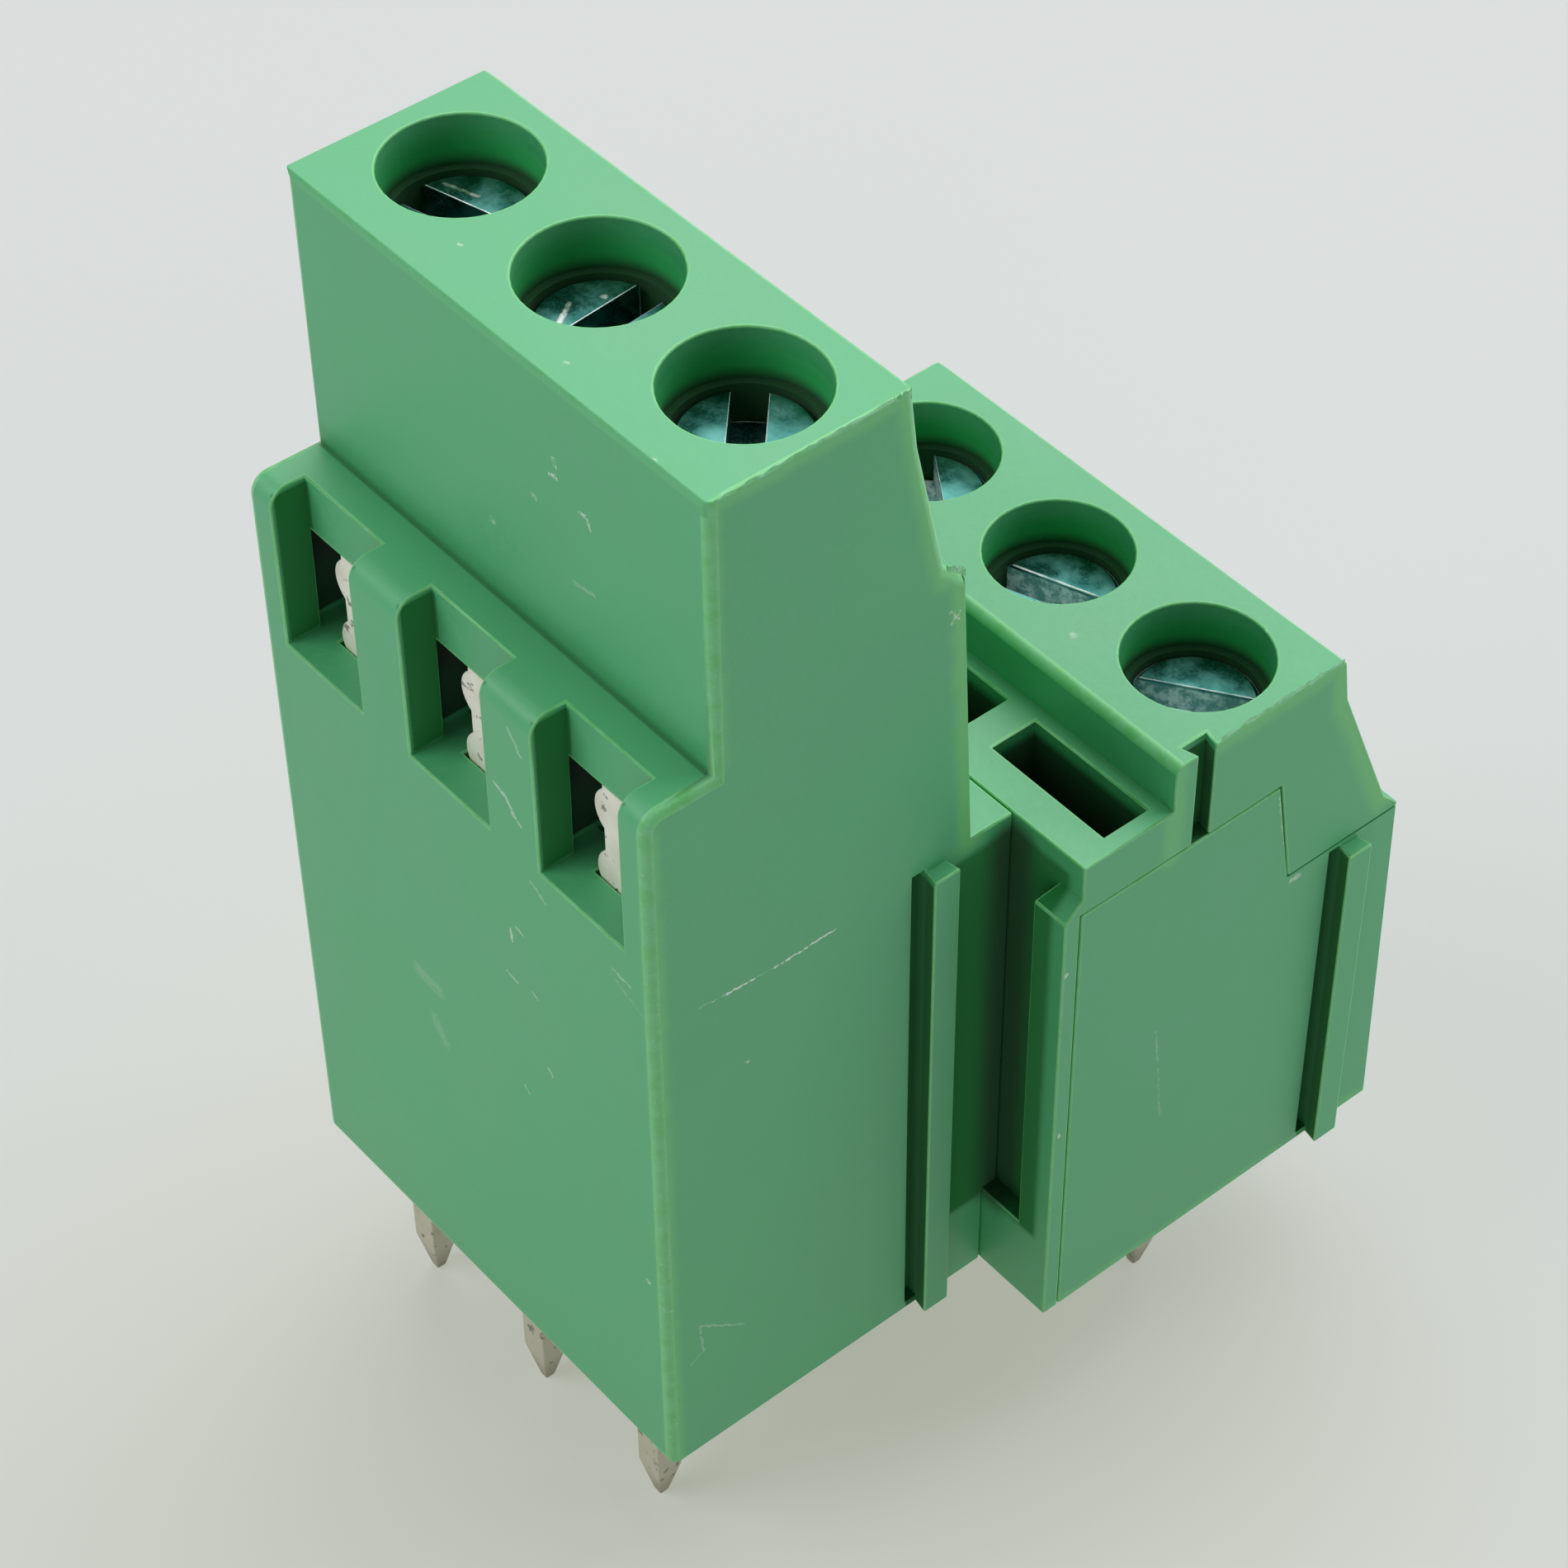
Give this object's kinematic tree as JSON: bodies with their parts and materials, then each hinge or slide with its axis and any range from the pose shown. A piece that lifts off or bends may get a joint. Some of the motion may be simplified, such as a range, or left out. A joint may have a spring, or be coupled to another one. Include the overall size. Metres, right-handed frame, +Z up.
{
  "type": "screw terminal block",
  "caption": "Two-tier screw terminal block for circuit boards: interlocking green housings, slotted screws that lift clamp cages, and solder pins below.",
  "frame": {"origin": "middle of the solder-pin pattern, on the board's top surface where the housings stand", "axes": "+Z up from the board, +X along the row of poles, +Y to the tall housing's plain back; wires enter along +Y from the -Y side"},
  "size_m": [0.0182, 0.0228, 0.0371],
  "materials": {
    "housing_green": "satin moulded polyamide with fine moulding texture and light scuffs",
    "screw_zinc": "zinc-plated steel with a blue-grey passivated surface",
    "cage_nickel": "nickel-plated, pressed and tapped",
    "contact_tin": "dull tin plating over copper alloy"
  },
  "bodies": {
    "block": {"upper_housing": "housing_green", "lower_housing": "housing_green", "end_cover": "housing_green", "upper_contact_1": "contact_tin", "upper_contact_2": "contact_tin", "upper_contact_3": "contact_tin", "lower_contact_1": "contact_tin", "lower_contact_2": "contact_tin", "lower_contact_3": "contact_tin"},
    "upper_screw_1_body": {"upper_screw_1": "screw_zinc"},
    "upper_cage_1_body": {"upper_cage_1": "cage_nickel"},
    "upper_screw_2_body": {"upper_screw_2": "screw_zinc"},
    "upper_cage_2_body": {"upper_cage_2": "cage_nickel"},
    "upper_screw_3_body": {"upper_screw_3": "screw_zinc"},
    "upper_cage_3_body": {"upper_cage_3": "cage_nickel"},
    "lower_screw_1_body": {"lower_screw_1": "screw_zinc"},
    "lower_cage_1_body": {"lower_cage_1": "cage_nickel"},
    "lower_screw_2_body": {"lower_screw_2": "screw_zinc"},
    "lower_cage_2_body": {"lower_cage_2": "cage_nickel"},
    "lower_screw_3_body": {"lower_screw_3": "screw_zinc"},
    "lower_cage_3_body": {"lower_cage_3": "cage_nickel"}
  },
  "joints": [
    {"name": "upper_screw_1_turn", "type": "hinge", "parent": "block", "child": "upper_screw_1_body", "pos_m": [-0.00381, 0.00397, 0.0306], "axis": [0, 0, -1], "range_deg": [0, 1440]},
    {"name": "upper_cage_1_lift", "type": "slide", "parent": "block", "child": "upper_cage_1_body", "axis": [0, 0, 1], "range_m": [0, 0.002]},
    {"name": "upper_screw_2_turn", "type": "hinge", "parent": "block", "child": "upper_screw_2_body", "pos_m": [0.00127, 0.00397, 0.0306], "axis": [0, 0, -1], "range_deg": [0, 1440]},
    {"name": "upper_cage_2_lift", "type": "slide", "parent": "block", "child": "upper_cage_2_body", "axis": [0, 0, 1], "range_m": [0, 0.002]},
    {"name": "upper_screw_3_turn", "type": "hinge", "parent": "block", "child": "upper_screw_3_body", "pos_m": [0.00635, 0.00397, 0.0306], "axis": [0, 0, -1], "range_deg": [0, 1440]},
    {"name": "upper_cage_3_lift", "type": "slide", "parent": "block", "child": "upper_cage_3_body", "axis": [0, 0, 1], "range_m": [0, 0.002]},
    {"name": "lower_screw_1_turn", "type": "hinge", "parent": "block", "child": "lower_screw_1_body", "pos_m": [-0.00635, -0.00817, 0.0169], "axis": [0, 0, -1], "range_deg": [0, 1440]},
    {"name": "lower_cage_1_lift", "type": "slide", "parent": "block", "child": "lower_cage_1_body", "axis": [0, 0, 1], "range_m": [0, 0.002]},
    {"name": "lower_screw_2_turn", "type": "hinge", "parent": "block", "child": "lower_screw_2_body", "pos_m": [-0.00127, -0.00817, 0.0169], "axis": [0, 0, -1], "range_deg": [0, 1440]},
    {"name": "lower_cage_2_lift", "type": "slide", "parent": "block", "child": "lower_cage_2_body", "axis": [0, 0, 1], "range_m": [0, 0.002]},
    {"name": "lower_screw_3_turn", "type": "hinge", "parent": "block", "child": "lower_screw_3_body", "pos_m": [0.00381, -0.00817, 0.0169], "axis": [0, 0, -1], "range_deg": [0, 1440]},
    {"name": "lower_cage_3_lift", "type": "slide", "parent": "block", "child": "lower_cage_3_body", "axis": [0, 0, 1], "range_m": [0, 0.002]}
  ],
  "couplings": [
    {"joint": "upper_screw_1_turn", "follows": "upper_cage_1_lift", "rad_per_m": 12566},
    {"joint": "upper_screw_2_turn", "follows": "upper_cage_2_lift", "rad_per_m": 12566},
    {"joint": "upper_screw_3_turn", "follows": "upper_cage_3_lift", "rad_per_m": 12566},
    {"joint": "lower_screw_1_turn", "follows": "lower_cage_1_lift", "rad_per_m": 12566},
    {"joint": "lower_screw_2_turn", "follows": "lower_cage_2_lift", "rad_per_m": 12566},
    {"joint": "lower_screw_3_turn", "follows": "lower_cage_3_lift", "rad_per_m": 12566}
  ]
}
